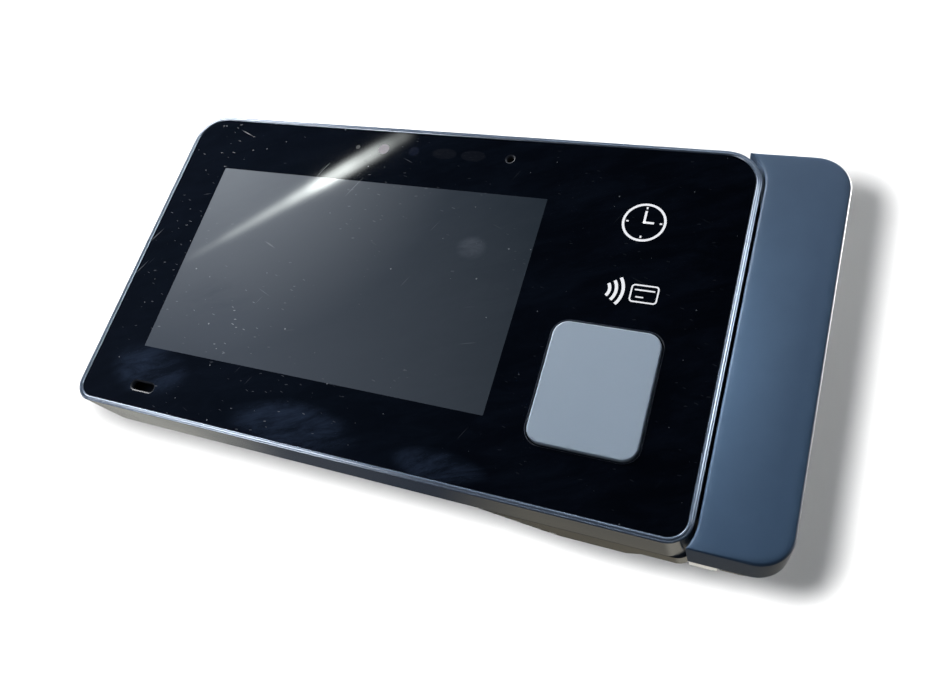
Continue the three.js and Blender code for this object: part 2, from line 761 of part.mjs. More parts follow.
// Back shell of the swipe module, notched where the steel bracket enters it.
function swipeRearCover() {
  const shell = cut(
    slab(rearCoverOutline(0), rearStart, rearCoverBack, 8),
    slab(rearCoverOutline(wall), rearStart - 1, rearCoverBack - wall, 6),
  );
  const notch = block(rearCoverLeft - 1, rearCoverLeft + wall + 1, rearStart - 1, 29.6, -68.6, 68.6);
  const cableHole = block(rearCoverLeft - 1, rearCoverLeft + wall + 1, 30.3, 32.1, swipeLinkZ - 5.8, swipeLinkZ + 5.8);
  const pillars = coverScrewPlaces.map(([x, z]) => rod(x, z, 3.2, rearStart, rearCoverBack - 1, 16));
  const shanks = coverScrewPlaces.map(([x, z]) => rod(x, z, 1.7, rearStart - 1, rearCoverBack + 1, 14));
  const heads = coverScrewPlaces.map(([x, z]) => rod(x, z, 3.1, rearCoverBack - 2.2, rearCoverBack + 1, 18));
  return cut(join(cut(shell, notch, cableHole), ...pillars), ...shanks, ...heads);
}

// Stainless bracket that ties the module to the body and is the floor of the slot.
function swipeBracket() {
  const front = brimBack + touchGap;
  const back = front + bracketThickness;
  const webLeft = mainRight + 0.4;
  const web = block(webLeft, 120.9, front, back, bottom + 1.2, top - 1.4);
  const ears = block(102, 125.8, front, back, bottom + 15, top - 13);
  const foot = cut(
    block(webLeft - 1.6, 120.9, rearStart + 0.3, 32.2, bottom + 0.1, bottom + 1.6),
    block(119.4, 122, 30.9, 34, bottom - 1, bottom + 3),
  );
  const holes = swipeScrewPlaces.map(([x, z]) => rod(x, z, 1.5, front - 1, back + 1, 14));
  return cut(join(web, ears, foot), ...holes);
}

// Magnetic read head with a rounded nose that stands in the slot.
function readHead() {
  const nose = 0.35;
  const section = new THREE.Shape();
  section.moveTo(122, headZ - 6);
  section.lineTo(122, headZ + 6);
  section.lineTo(swipeLeft + 1.4, headZ + 6);
  section.quadraticCurveTo(swipeLeft - 2 * nose - 1.4, headZ, swipeLeft + 1.4, headZ - 6);
  const body = slab(section, 11, 21, 6);
  const pins = [13.5, 16, 18.5].map((depth) => {
    const pin = new THREE.CylinderGeometry(0.35, 0.35, 1.8, 8);
    pin.rotateZ(Math.PI / 2);
    pin.translate(122.7, depth, headZ);
    return solid(pin);
  });
  return join(body, ...pins);
}

// Bowed leaf spring that presses the head into the slot.
function headSpring() {
  const half = 15;
  const bow = 2;
  const thickness = 0.4;
  const section = new THREE.Shape();
  section.moveTo(126.2, headZ - half);
  section.quadraticCurveTo(126.2 - 2 * bow, headZ, 126.2, headZ + half);
  section.lineTo(126.2 + thickness, headZ + half);
  section.quadraticCurveTo(126.2 + thickness - 2 * bow, headZ, 126.2 + thickness, headZ - half);
  return slab(section, 17.2, 20.2, 8);
}

function swipeBoard() {
  return block(127.2, 128.8, 5, 22.5, -46, 42);
}

function swipeCable() {
  return block(40, 126, 31, 31.4, swipeLinkZ - 5, swipeLinkZ + 5);
}

// ---------------------------------------------------------------- assembly

place(terminal, 'front_frame', frontFrame(), look.frame);
place(terminal, 'cover_glass', coverGlass(), look.glass);
place(terminal, 'display_gasket', displayGasket(), look.foam);
place(terminal, 'display_panel', displayPanel(), look.display);
place(terminal, 'display_tray', displayTray(), look.tray);
place(terminal, 'sensor_board', sensorBoard(), look.board);
place(terminal, 'camera_module', cameraModule(), look.lens, cameraX, behindGlass, sensorRowZ);
place(terminal, 'camera_gasket', ring(3.6, 2.7, 0, 1.2), look.foam, cameraX, behindGlass, sensorRowZ);
place(terminal, 'presence_sensor_left', presenceSensor(), look.lens, presenceLeftX, behindGlass, sensorRowZ);
place(terminal, 'presence_sensor_right', presenceSensor(), look.lens, presenceRightX, behindGlass, sensorRowZ);
place(terminal, 'light_sensor', lightSensor(), look.light, lightSensorX, behindGlass, sensorRowZ);
place(terminal, 'status_led', statusLed(), look.light, statusLedX, behindGlass, sensorRowZ);
place(terminal, 'microphone', microphone(), look.tray, microphoneX, behindGlass + 1.6, sensorRowZ);
place(terminal, 'microphone_gasket', ring(2.8, microphoneHoleRadius + 0.2, 0, 1.3), look.foam, microphoneX, behindGlass, sensorRowZ);
place(terminal, 'speaker', speaker(), look.chip);
place(terminal, 'speaker_gasket', speakerGasket(), look.foam);
place(terminal, 'reader_pad', readerPad(), look.pad);
place(terminal, 'reader_pad_gasket', readerPadGasket(), look.foam);
place(terminal, 'reader_board', readerBoard(), look.board);
place(terminal, 'mid_chassis', midChassis(), look.tray);
place(terminal, 'main_board', mainBoard(), look.board);
place(terminal, 'processor_shield', processorShield(), look.tray);
place(terminal, 'ethernet_socket', ethernetSocket(), look.connector);
place(terminal, 'service_port', servicePort(), look.steel);
place(terminal, 'power_terminal', powerTerminal(), look.connector);
place(terminal, 'coin_cell_holder', coinCellHolder(), look.connector);
place(terminal, 'coin_cell', coinCell(), look.steel);
place(terminal, 'backup_battery', backupBattery(), look.battery);
place(terminal, 'display_ribbon', displayRibbon(), look.film);
place(terminal, 'rear_housing', rearHousing(), look.darkShell);
frameBosses.forEach(([x, z], index) => {
  place(terminal, `rear_screw_${index + 1}`, housingScrew(2.8, 1.15, 9), look.screw, x, brimBack + touchGap, z);
});
place(terminal, 'tamper_switch', tamperSwitch(), look.connector, plungerX, 0, plungerZ);
place(terminal, 'tamper_spring', tamperSpring(), look.steel, plungerX, 0, plungerZ);
place(terminal, 'tamper_plunger', tamperPlunger(), look.connector, plungerX, 0, plungerZ);

place(wallMount, 'wall_plate', wallPlate(), look.steel);
place(wallMount, 'locking_screw', lockingScrew(), look.screw);

place(swipeModule, 'swipe_cover', swipeCover(), look.softTouch);
place(swipeModule, 'swipe_rear_cover', swipeRearCover(), look.darkShell);
place(swipeModule, 'swipe_bracket', swipeBracket(), look.steel);
place(swipeModule, 'read_head', readHead(), look.brass);
place(swipeModule, 'head_spring', headSpring(), look.steel);
place(swipeModule, 'swipe_board', swipeBoard(), look.board);
place(swipeModule, 'swipe_cable', swipeCable(), look.film);
const webBack = brimBack + touchGap + bracketThickness;
swipeScrewPlaces.forEach(([x, z], index) => {
  place(swipeModule, `bracket_screw_${index + 1}`, housingScrew(2.4, 1.15, 4), look.screw, x, webBack + touchGap, z);
});
coverScrewPlaces.forEach(([x, z], index) => {
  place(swipeModule, `cover_screw_${index + 1}`, housingScrew(2.8, 1.1, 14), look.screw, x, rearCoverBack - 2, z);
});

export default assembly;
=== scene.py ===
"""Studio picture of a wall-mounted fingerprint terminal with a card-swipe module.

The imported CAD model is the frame: this script adds the fine surfaces, the materials,
the lights and the camera. Lengths in the helpers are millimetres, and a depth is
measured back from the front plane of the terminal.
"""

import json
import math

import bmesh
import bpy
from mathutils import Matrix, Quaternion, Vector
from mathutils.geometry import delaunay_2d_cdt


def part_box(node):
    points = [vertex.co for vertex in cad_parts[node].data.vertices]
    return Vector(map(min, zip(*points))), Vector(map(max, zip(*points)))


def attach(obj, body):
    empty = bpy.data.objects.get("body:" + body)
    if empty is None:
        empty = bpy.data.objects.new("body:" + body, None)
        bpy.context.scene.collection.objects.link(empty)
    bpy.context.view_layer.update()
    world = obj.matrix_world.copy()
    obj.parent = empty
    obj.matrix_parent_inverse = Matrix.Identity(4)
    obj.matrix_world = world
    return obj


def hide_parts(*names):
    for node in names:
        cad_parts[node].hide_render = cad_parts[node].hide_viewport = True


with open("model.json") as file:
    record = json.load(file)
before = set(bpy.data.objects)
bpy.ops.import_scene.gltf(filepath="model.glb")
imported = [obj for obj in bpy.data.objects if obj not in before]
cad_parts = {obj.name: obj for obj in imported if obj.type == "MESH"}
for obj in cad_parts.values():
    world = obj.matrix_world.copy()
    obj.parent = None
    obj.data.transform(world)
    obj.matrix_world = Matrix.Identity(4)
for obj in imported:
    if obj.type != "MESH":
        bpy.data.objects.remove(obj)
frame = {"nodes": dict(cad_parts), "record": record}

MM = 0.001
nodes = frame["nodes"]
scene = bpy.context.scene
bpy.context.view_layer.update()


# ------------------------------------------------------------------ sizes from the frame

def millimetres(node):
    low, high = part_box(node)
    return low / MM, high / MM


frame_low, frame_high = millimetres("front_frame")
glass_low, glass_high = millimetres("cover_glass")
pad_low, pad_high = millimetres("reader_pad")
_, swipe_high = millimetres("swipe_cover")

LEFT, FRONT, BOTTOM = frame_low
MAIN_RIGHT, SEAM, TOP = frame_high
SEAM_DEPTH = SEAM - FRONT
RIGHT = swipe_high.x
SLOT_WIDTH = 1.0
SWIPE_LEFT = MAIN_RIGHT + SLOT_WIDTH

CORNER_TOP = 14.5
CORNER_BOTTOM = 8.5
SWIPE_CORNER_TOP = 13
SWIPE_CORNER_BOTTOM = 11
BORDER = 1.85
GLASS_FRONT = glass_low.y - FRONT
GLASS_BACK = glass_high.y - FRONT

DISPLAY_X = -40.6
DISPLAY_WIDTH = 154.1
DISPLAY_HEIGHT = 89.7
SENSOR_ROW = 61.8

PAD_FLANGE = 2.2
PAD_CORNER = 5.5
PAD_GAP = 0.7
PAD_X = (pad_low.x + pad_high.x) / 2
PAD_Z = (pad_low.z + pad_high.z) / 2
PAD_WIDTH = pad_high.x - pad_low.x - 2 * PAD_FLANGE
PAD_HEIGHT = pad_high.z - pad_low.z - 2 * PAD_FLANGE


# ------------------------------------------------------------------ mesh helpers

def place(x, depth, z):
    """Scene position of a point given in millimetres."""
    return Vector((x, depth + FRONT, z)) * MM


def arc(centre_x, centre_z, radius, start, end, steps):
    """Points on an arc, with its angles in degrees."""
    angles = [math.radians(start + (end - start) * i / steps) for i in range(steps + 1)]
    return [(centre_x + radius * math.cos(a), centre_z + radius * math.sin(a))
            for a in angles]


def rounded(x0, x1, z0, z1, radius_top, radius_bottom=None, steps=14):
    """Outline with rounded corners, anticlockwise from the lower right corner."""
    low = radius_top if radius_bottom is None else radius_bottom
    return [
        *arc(x1 - low, z0 + low, low, -90, 0, steps),
        *arc(x1 - radius_top, z1 - radius_top, radius_top, 0, 90, steps),
        *arc(x0 + radius_top, z1 - radius_top, radius_top, 90, 180, steps),
        *arc(x0 + low, z0 + low, low, 180, 270, steps),
    ]


def centred(x, z, width, height, radius, grow=0.0, steps=10):
    """Rounded rectangle given by its centre and size, grown outwards all round."""
    half_width = width / 2 + grow
    half_height = height / 2 + grow
    corner = min(radius + grow, half_width - 0.01, half_height - 0.01)
    return rounded(x - half_width, x + half_width, z - half_height, z + half_height, corner,
                   steps=steps)


def main_outline(inset):
    """Outline of the main body, moved inwards."""
    return rounded(LEFT + inset, MAIN_RIGHT - inset, BOTTOM + inset, TOP - inset,
                   max(CORNER_TOP - inset, 1.5), max(CORNER_BOTTOM - inset, 1.5))


def ellipse(x, z, half_width, half_height, steps=36):
    angles = [2 * math.pi * i / steps for i in range(steps)]
    return [(x + half_width * math.cos(a), z + half_height * math.sin(a)) for a in angles]


def circle(x, z, radius, steps=32):
    return arc(x, z, radius, 0, 360, steps)[:-1]


def ring_at(outline, depth):
    return [place(x, depth, z) for x, z in outline]


def loft(bm, rings, close=False):
    """Skins a list of equally long rings. Returns the rings' vertices."""
    made = [[bm.verts.new(p) for p in ring] for ring in rings]
    pairs = list(zip(made, made[1:]))
    if close:
        pairs.append((made[-1], made[0]))
    for first, second in pairs:
        count = len(first)
        for i in range(count):
            j = (i + 1) % count
            bm.faces.new((first[i], first[j], second[j], second[i]))
    return made


def finish_mesh(name, bm, materials, sharp=32):
    """Cleans a bmesh and links it as an object that rides on the terminal."""
    bmesh.ops.remove_doubles(bm, verts=bm.verts, dist=1e-7)
    bmesh.ops.recalc_face_normals(bm, faces=bm.faces)
    mesh = bpy.data.meshes.new(name)
    bm.to_mesh(mesh)
    bm.free()
    for material in materials:
        mesh.materials.append(material)
    mesh.shade_smooth()
    mesh.set_sharp_from_angle(angle=math.radians(sharp))
    obj = bpy.data.objects.new(name, mesh)
    scene.collection.objects.link(obj)
    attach(obj, "terminal")
    return obj


def flat_cap(bm, outer, holes, inlays, depth):
    """Fills a flat outline round its holes. Inlays get material 1, 2 and so on."""
    loops = [outer, *holes, *inlays]
    points = []
    faces = []
    for loop in loops:
        faces.append(list(range(len(points), len(points) + len(loop))))
        points.extend(Vector(p) for p in loop)
    verts, _, triangles, _, _, owners = delaunay_2d_cdt(points, [], faces, 0, 1e-6)
    made = [bm.verts.new(place(v.x, depth, v.y)) for v in verts]
    hole_ids = set(range(1, 1 + len(holes)))
    for triangle, owner in zip(triangles, owners):
        inside = set(owner)
        if 0 not in inside or inside & hole_ids:
            continue
        face = bm.faces.new([made[i] for i in triangle])
        face.material_index = max([0] + [i - len(holes) for i in inside if i > len(holes)])


# ------------------------------------------------------------------ material helpers

def new_material(name, colour, roughness, metallic=0.0, **sockets):
    """Principled material. Extra keywords name sockets, with underscores for spaces."""
    material = bpy.data.materials.new(name)
    material.use_nodes = True
    shader = material.node_tree.nodes["Principled BSDF"]
    shader.inputs["Base Color"].default_value = (*colour, 1)
    shader.inputs["Roughness"].default_value = roughness
    shader.inputs["Metallic"].default_value = metallic
    for key, value in sockets.items():
        shader.inputs[key.replace("_", " ")].default_value = value
    return material


class Graph:
    """Short names for the shader nodes that the materials and the world use."""

    def __init__(self, tree):
        self.tree = tree

    def add(self, kind, **values):
        node = self.tree.nodes.new(kind)
        for key, value in values.items():
            setattr(node, key, value)
        return node

    def link(self, source, target):
        self.tree.links.new(source, target)

    def fill(self, socket, value):
        """Puts a number in a socket, or links another socket to it."""
        if isinstance(value, (int, float)):
            socket.default_value = value
        else:
            self.link(value, socket)

    def coordinates(self, output):
        return self.add("ShaderNodeTexCoord").outputs[output]

    def axes(self, vector):
        node = self.add("ShaderNodeSeparateXYZ")
        self.link(vector, node.inputs["Vector"])
        return node.outputs

    def spread(self, value, low, high, out_low=0.0, out_high=1.0, smooth=False):
        """Takes a value from one range to another, held at both ends."""
        node = self.add("ShaderNodeMapRange")
        if smooth:
            node.interpolation_type = "SMOOTHSTEP"
        for name, number in (("From Min", low), ("From Max", high),
                             ("To Min", out_low), ("To Max", out_high)):
            node.inputs[name].default_value = number
        self.link(value, node.inputs["Value"])
        return node.outputs["Result"]

    def maths(self, operation, *values):
        node = self.add("ShaderNodeMath", operation=operation)
        for socket, value in zip(node.inputs, values):
            self.fill(socket, value)
        return node.outputs["Value"]

    def largest(self, *values):
        result = values[0]
        for value in values[1:]:
            result = self.maths("MAXIMUM", result, value)
        return result

    def mix(self, factor, first, second):
        """Colour mix. A colour is three numbers or a socket."""
        node = self.add("ShaderNodeMix", data_type="RGBA")
        self.link(factor, node.inputs["Factor"])
        sockets = [s for s in node.inputs if s.type == "RGBA"]
        for socket, value in zip(sockets, (first, second)):
            if isinstance(value, tuple):
                socket.default_value = (*value, 1)
            else:
                self.link(value, socket)
        return [s for s in node.outputs if s.type == "RGBA"][0]

    def ramp(self, value, stops, ease="LINEAR"):
        """Colour ramp, with its stops as positions and colours."""
        node = self.add("ShaderNodeValToRGB")
        node.color_ramp.interpolation = ease
        elements = node.color_ramp.elements
        while len(elements) < len(stops):
            elements.new(0.5)
        for element, (position, colour) in zip(elements, stops):
            element.position = position
            element.color = (*colour, 1)
        self.link(value, node.inputs["Fac"])
        return node.outputs["Color"]


class Tree(Graph):
    """Node graph of a principled material, with coordinates in the object's own metres."""

    def __init__(self, material):
        super().__init__(material.node_tree)
        self.shader = self.tree.nodes["Principled BSDF"]
        self.place = self.coordinates("Object")

    def mapping(self, scale=(1, 1, 1), turn=(0, 0, 0)):
        """Turns the coordinates, in degrees, and then scales them."""
        node = self.add("ShaderNodeMapping", vector_type="TEXTURE")
        node.inputs["Scale"].default_value = [1 / s for s in scale]
        node.inputs["Rotation"].default_value = [math.radians(a) for a in turn]
        self.link(self.place, node.inputs["Vector"])
        return node.outputs["Vector"]

    def noise(self, scale, detail=4.0, rough=0.55, vector=None, distortion=0.0):
        node = self.add("ShaderNodeTexNoise")
        for name, number in (("Scale", scale), ("Detail", detail), ("Roughness", rough),
                             ("Distortion", distortion)):
            node.inputs[name].default_value = number
        self.link(vector or self.place, node.inputs["Vector"])
        return node.outputs["Fac"]

    def cells(self, scale, vector):
        """Cells across the front, the same at any depth: distance to a centre, and chance."""
        x, _, z = self.axes(vector)
        flat = self.add("ShaderNodeCombineXYZ")
        self.link(x, flat.inputs["X"])
        self.link(z, flat.inputs["Y"])
        node = self.add("ShaderNodeTexVoronoi", voronoi_dimensions="2D")
        node.inputs["Scale"].default_value = scale
        self.link(flat.outputs["Vector"], node.inputs["Vector"])
        return node.outputs["Distance"], node.outputs["Color"]

    def bump(self, height, strength, distance):
        node = self.add("ShaderNodeBump")
        node.inputs["Strength"].default_value = strength
        node.inputs["Distance"].default_value = distance
        self.link(height, node.inputs["Height"])
        self.link(node.outputs["Normal"], self.shader.inputs["Normal"])

    def colour(self, socket):
        self.link(socket, self.shader.inputs["Base Color"])

    def roughness(self, socket):
        self.link(socket, self.shader.inputs["Roughness"])


def scaled(colour, factor):
    return tuple(c * factor for c in colour)


def grained(name, colour, roughness, metallic=0.0, grain=2200, depth=0.00002, strength=0.25,
            variation=0.12, **sockets):
    """Moulded or blasted surface: fine grain, slight colour and gloss variation."""
    material = new_material(name, colour, roughness, metallic, **sockets)
    tree = Tree(material)
    broad = tree.noise(14, 5)
    fine = tree.noise(grain, 3, 0.7)
    tone = tree.maths("MULTIPLY_ADD", fine, 0.35, tree.maths("MULTIPLY", broad, 0.65))
    light = tree.spread(tone, 0.3, 0.7)
    tree.colour(tree.mix(light, scaled(colour, 1 - variation), scaled(colour, 1 + variation)))
    tree.roughness(tree.spread(broad, 0.3, 0.7, roughness - 0.05, roughness + 0.05))
    tree.bump(fine, strength, depth)
    return material


# ------------------------------------------------------------------ materials

def bezel_finish():
    return grained("satin_bezel", (0.125, 0.165, 0.23), 0.24, 0.25, grain=3000, strength=0.1,
                   variation=0.06)


def soft_touch_finish():
    """Soft-touch paint with a painted sheen: paler and a little smoother beside the slot, fading
    towards its ends.
    """
    sheen_width = 22 * MM
    sheen_height = 75 * MM
    sheen_middle = -12 * MM
    slot = SWIPE_LEFT * MM
    material = new_material("soft_touch", (0.058, 0.108, 0.192), 0.55, Specular_IOR_Level=0.3)
    tree = Tree(material)
    x, _, z = tree.axes(tree.place)
    # Painted sheen: the colour is paler beside the slot and along the middle of its height.
    across = tree.spread(x, slot, slot + sheen_width, 1, 0)
    height = tree.maths("ABSOLUTE", tree.maths("SUBTRACT", z, sheen_middle))
    painted_sheen = tree.maths("MULTIPLY", across, tree.spread(height, 0, sheen_height, 1, 0.1, True))
    fine = tree.noise(2600, 3, 0.7)
    patchy = tree.spread(tree.noise(60, 5, 0.6), 0.3, 0.7, -0.06, 0.06)
    tree.colour(tree.mix(tree.maths("ADD", painted_sheen, patchy), (0.038, 0.074, 0.132),
                         (0.092, 0.160, 0.262)))
    tree.roughness(tree.spread(painted_sheen, 0, 1, 0.56, 0.48))
    tree.bump(fine, 0.3, 0.00002)
    return material


def pad_finish():
    return grained("pad_satin", (0.285, 0.352, 0.428), 0.42, grain=3500, strength=0.2,
                   variation=0.04)


def shell_finish():
    return grained("moulded_shell", (0.085, 0.10, 0.125), 0.26, 0.2, grain=2400, strength=0.1,
                   variation=0.1)


GLASS_BLACK = (0.0006, 0.0010, 0.0026)

# Worn places on the glass in metres: centre across and up, then half width and half height.
SMEARS = (
    (-0.036, -0.064, 0.032, 0.011),
    (0.026, -0.066, 0.020, 0.007),
    (-0.090, -0.026, 0.026, 0.020),
    (0.012, 0.020, 0.007, 0.006),
    (-0.110, -0.054, 0.022, 0.013),
)

# Directions of the hairline scratches in degrees, with the scale of the noise for each.
SCRATCHES = ((28, 620), (-52, 560), (75, 680), (112, 600))


def worn_places(tree, x, z):
    """Soft ellipses: 1 in the middle of each worn place and 0 from its edge outwards."""
    spots = []
    for centre_x, centre_z, wide, high in SMEARS:
        across = tree.maths("DIVIDE", tree.maths("SUBTRACT", x, centre_x), wide)
        up = tree.maths("DIVIDE", tree.maths("SUBTRACT", z, centre_z), high)
        radius = tree.maths("ADD", tree.maths("MULTIPLY", across, across),
                            tree.maths("MULTIPLY", up, up))
        spots.append(tree.spread(radius, 1, 0, smooth=True))
    return tree.largest(*spots)


def finger_smears(tree, worn):
    """Streaky film, strong at the worn places and faint everywhere else."""
    strokes = tree.noise(130, 8, 0.72, tree.mapping((1, 1, 0.3), (0, 66, 0)), 0.5)
    return tree.maths("MULTIPLY", tree.spread(strokes, 0.34, 0.76, 0.12, 1, True),
                      tree.maths("MULTIPLY_ADD", worn, 0.85, 0.08))


def hairlines(tree, handled):
    """Long fine scratches: the peaks of noise that is drawn out along each direction."""
    lines = []
    for turn, scale in SCRATCHES:
        field = tree.noise(scale, 1, 0.5, tree.mapping((1, 1, 0.06), (0, turn, 0)))
        lines.append(tree.spread(field, 0.785, 0.83))
    return tree.maths("MULTIPLY", tree.largest(*lines), tree.maths("MULTIPLY", handled, 0.5))


def flecks(tree, scale, turn, stretch, rarity, size):
    """Small marks scattered one to a cell; a low stretch draws them out along one direction."""
    distance, chance = tree.cells(scale, tree.mapping((1, 1, stretch), (0, turn, 0)))
    reach = tree.spread(tree.axes(chance)[0], rarity, 1.0, 0.0, size)
    return tree.maths("LESS_THAN", distance, reach)


def specks(tree, worn, handled):
    """Round dust everywhere, and short nicks in clusters where the glass is handled."""
    dust = tree.maths("MULTIPLY",
                      flecks(tree, scale=110, turn=0, stretch=1, rarity=0.8, size=0.034),
                      tree.maths("MULTIPLY_ADD", handled, 0.7, 0.3))
    nicks = tree.largest(
        flecks(tree, scale=260, turn=82, stretch=0.3, rarity=0.4, size=0.06),
        flecks(tree, scale=340, turn=104, stretch=0.22, rarity=0.45, size=0.065),
    )
    clusters = tree.spread(tree.noise(38, 2, 0.5), 0.48, 0.56)
    crowd = tree.maths("MULTIPLY", tree.maths("MULTIPLY_ADD", worn, 0.6, 0.4), handled)
    nicks = tree.maths("MULTIPLY", nicks, tree.maths("MULTIPLY", clusters, crowd))
    return tree.largest(dust, nicks)


def glass_wear(tree, base, haze, mark):
    """Smears in the haze colour, and scratches and specks in the mark colour."""
    x, _, z = tree.axes(tree.place)
    handled = tree.spread(x, 0.06, -0.13, 0.12, 1.0, True)
    worn = worn_places(tree, x, z)
    smears = finger_smears(tree, worn)
    hairs = hairlines(tree, handled)
    marks = specks(tree, worn, handled)
    scratched = tree.mix(hairs, tree.mix(smears, base, haze), mark)
    tree.colour(tree.mix(marks, scratched, mark))
    blur = tree.largest(tree.maths("MULTIPLY", smears, 0.25), hairs, marks)
    tree.roughness(tree.spread(blur, 0, 1, 0.03, 0.6))


def glass_finish():
    material = new_material("black_printed_glass", GLASS_BLACK, 0.04)
    glass_wear(Tree(material), GLASS_BLACK, haze=(0.040, 0.060, 0.108), mark=(0.28, 0.30, 0.34))
    return material


def display_finish():
    """The dark display seen through the glass, with a painted reflection: paler towards its upper
    left corner and darker towards the right.
    """
    glare_reach = 0.12
    material = new_material("display_behind_glass", (0.04, 0.05, 0.06), 0.3, Coat_Weight=1.0,
                            Coat_Roughness=0.05)
    tree = Tree(material)
    low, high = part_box("display_panel")
    x, _, z = tree.axes(tree.place)
    across = tree.maths("SUBTRACT", x, low.x)
    down = tree.maths("MULTIPLY", tree.maths("SUBTRACT", high.z, z), 1.2)
    distance = tree.maths("SQRT", tree.maths("ADD", tree.maths("MULTIPLY", across, across),
                                             tree.maths("MULTIPLY", down, down)))
    # Painted reflection: a pale patch in the upper left corner, over a shade that darkens towards
    # the right.
    tone = tree.maths("POWER", tree.spread(distance, 0, glare_reach, 1, 0), 1.2)
    slant = tree.maths("MULTIPLY_ADD", down, -0.5, across)
    dark = tree.mix(tree.spread(slant, 0, high.x - low.x), (0.128, 0.146, 0.170),
                    (0.029, 0.040, 0.052))
    base = tree.mix(tone, dark, (0.43, 0.46, 0.49))
    glass_wear(tree, base, haze=(0.15, 0.17, 0.20), mark=(0.62, 0.66, 0.70))
    return material


def frosted_edge_finish():
    return grained("ground_glass_edge", (0.07, 0.075, 0.09), 0.5, grain=4000, variation=0.1)


def smoked_finish():
    return grained("smoked_window", (0.007, 0.008, 0.012), 0.12, grain=900, strength=0.05,
                   variation=0.2)


def sensor_disc_highlight_finish():
    # Pale light-sensor disc, made paler still by a painted highlight.
    return grained("sensor_disc", (0.62, 0.57, 0.6), 0.3, grain=1800, strength=0.05)


def status_dot_finish():
    return grained("status_dot", (0.035, 0.038, 0.042), 0.3, grain=1800, strength=0.05)


def print_finish():
    # White print that also glows a little: the glow is painted light that keeps it bright.
    return grained("glowing_white_print", (0.92, 0.93, 0.97), 0.5, grain=5000, strength=0.05,
                   variation=0.03, Emission_Color=(1, 1, 1, 1), Emission_Strength=0.42)


def metal_finish(name, colour, roughness, stretch=(1, 1, 30)):
    """Rolled or brushed metal with a directional grain."""
    material = new_material(name, colour, roughness, 1.0)
    tree = Tree(material)
    brushed = tree.noise(900, 4, 0.6, tree.mapping(stretch))
    mottle = tree.noise(60, 5, 0.6)
    tree.colour(tree.mix(tree.spread(mottle, 0.3, 0.7), scaled(colour, 0.82), scaled(colour, 1.08)))
    tree.roughness(tree.spread(brushed, 0.25, 0.75, roughness - 0.08, roughness + 0.12))
    tree.bump(brushed, 0.15, 0.00002)
    return material


def board_finish():
    """Solder mask with copper tracks faintly visible under it."""
    green = (0.012, 0.085, 0.04)
    material = new_material("solder_mask", green, 0.35)
    tree = Tree(material)
    x, _, z = tree.axes(tree.place)
    grid = tree.add("ShaderNodeCombineXYZ")
    tree.link(x, grid.inputs["X"])
    tree.link(z, grid.inputs["Y"])
    brick = tree.add("ShaderNodeTexBrick")
    brick.inputs["Scale"].default_value = 260
    brick.inputs["Mortar Size"].default_value = 0.03
    tree.link(grid.outputs["Vector"], brick.inputs["Vector"])
    tree.colour(tree.mix(brick.outputs["Fac"], green, (0.03, 0.2, 0.08)))
    tree.bump(brick.outputs["Fac"], 0.3, 0.00003)
    return material


def foam_finish():
    return grained("cell_foam", (0.012, 0.012, 0.013), 0.95, grain=1600, depth=0.0002,
                   strength=0.8, variation=0.35)


def plastic_finish():
    return grained("connector_plastic", (0.012, 0.012, 0.013), 0.45, grain=2500, strength=0.3,
                   variation=0.2)


def clear_finish():
    return grained("diffuser_plastic", (0.6, 0.64, 0.62), 0.25, grain=1200, strength=0.05)


def lens_finish():
    return grained("coated_lens", (0.006, 0.008, 0.02), 0.08, grain=500, strength=0.02,
                   Coat_Weight=1.0)


def wrap_finish():
    return grained("battery_wrap", (0.03, 0.06, 0.14), 0.35, grain=600, strength=0.15)


def film_finish():
    return grained("polyimide_film", (0.32, 0.11, 0.02), 0.3, grain=700, strength=0.1)


# ------------------------------------------------------------------ pieces

def rounding(inset, depth, radius, steps=6):
    """Quarter round from the outer wall to the face, as insets and depths."""
    angles = [math.radians(90 * i / steps) for i in range(steps + 1)]
    return [(inset + radius * (1 - math.cos(a)), depth + radius * (1 - math.sin(a)))
            for a in angles]


def front_frame(materials):
    """Bezel ring: rounded outer edge, shallow band and a raised lip next to the glass.

    The rings close to the wall's ends keep its shading flat.
    """
    edge = 0.45
    band_depth = 0.12
    seam_chamfer = 0.25
    ledge_front = GLASS_BACK + 0.3
    ledge_back = ledge_front + 1.6
    ledge_inset = BORDER + 4
    # Cross-section of the raised lip, as insets and depths.
    lip = [(0.58, 0.15), (0.72, 0.19), (0.84, 0.17), (0.94, 0.115), (1.06, 0.05), (1.2, 0.01),
           (1.34, 0.0), (1.48, 0.02), (1.6, 0.07), (1.7, 0.14), (1.79, 0.24), (BORDER, 0.34)]
    profile = [
        (0, SEAM_DEPTH - seam_chamfer), (0, SEAM_DEPTH - 0.6), (0, edge + band_depth + 0.2),
        *rounding(0, band_depth, edge), *lip,
        (BORDER, ledge_front), (ledge_inset, ledge_front), (ledge_inset, ledge_back),
        (BORDER, ledge_back), (BORDER, SEAM_DEPTH), (seam_chamfer, SEAM_DEPTH),
    ]
    bm = bmesh.new()
    loft(bm, [ring_at(main_outline(inset), depth) for inset, depth in profile], close=True)
    obj = finish_mesh("bezel_frame", bm, materials)
    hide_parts("front_frame")
    return obj


def pad_hole(grow):
    return centred(PAD_X, PAD_Z, PAD_WIDTH, PAD_HEIGHT, PAD_CORNER, PAD_GAP + grow)


def speaker_slot(grow):
    return centred(-109.6, -62, 11.4, 3.8, 1.85, grow)


def microphone_hole(grow):
    return circle(16.2, SENSOR_ROW, 1.6 + grow)


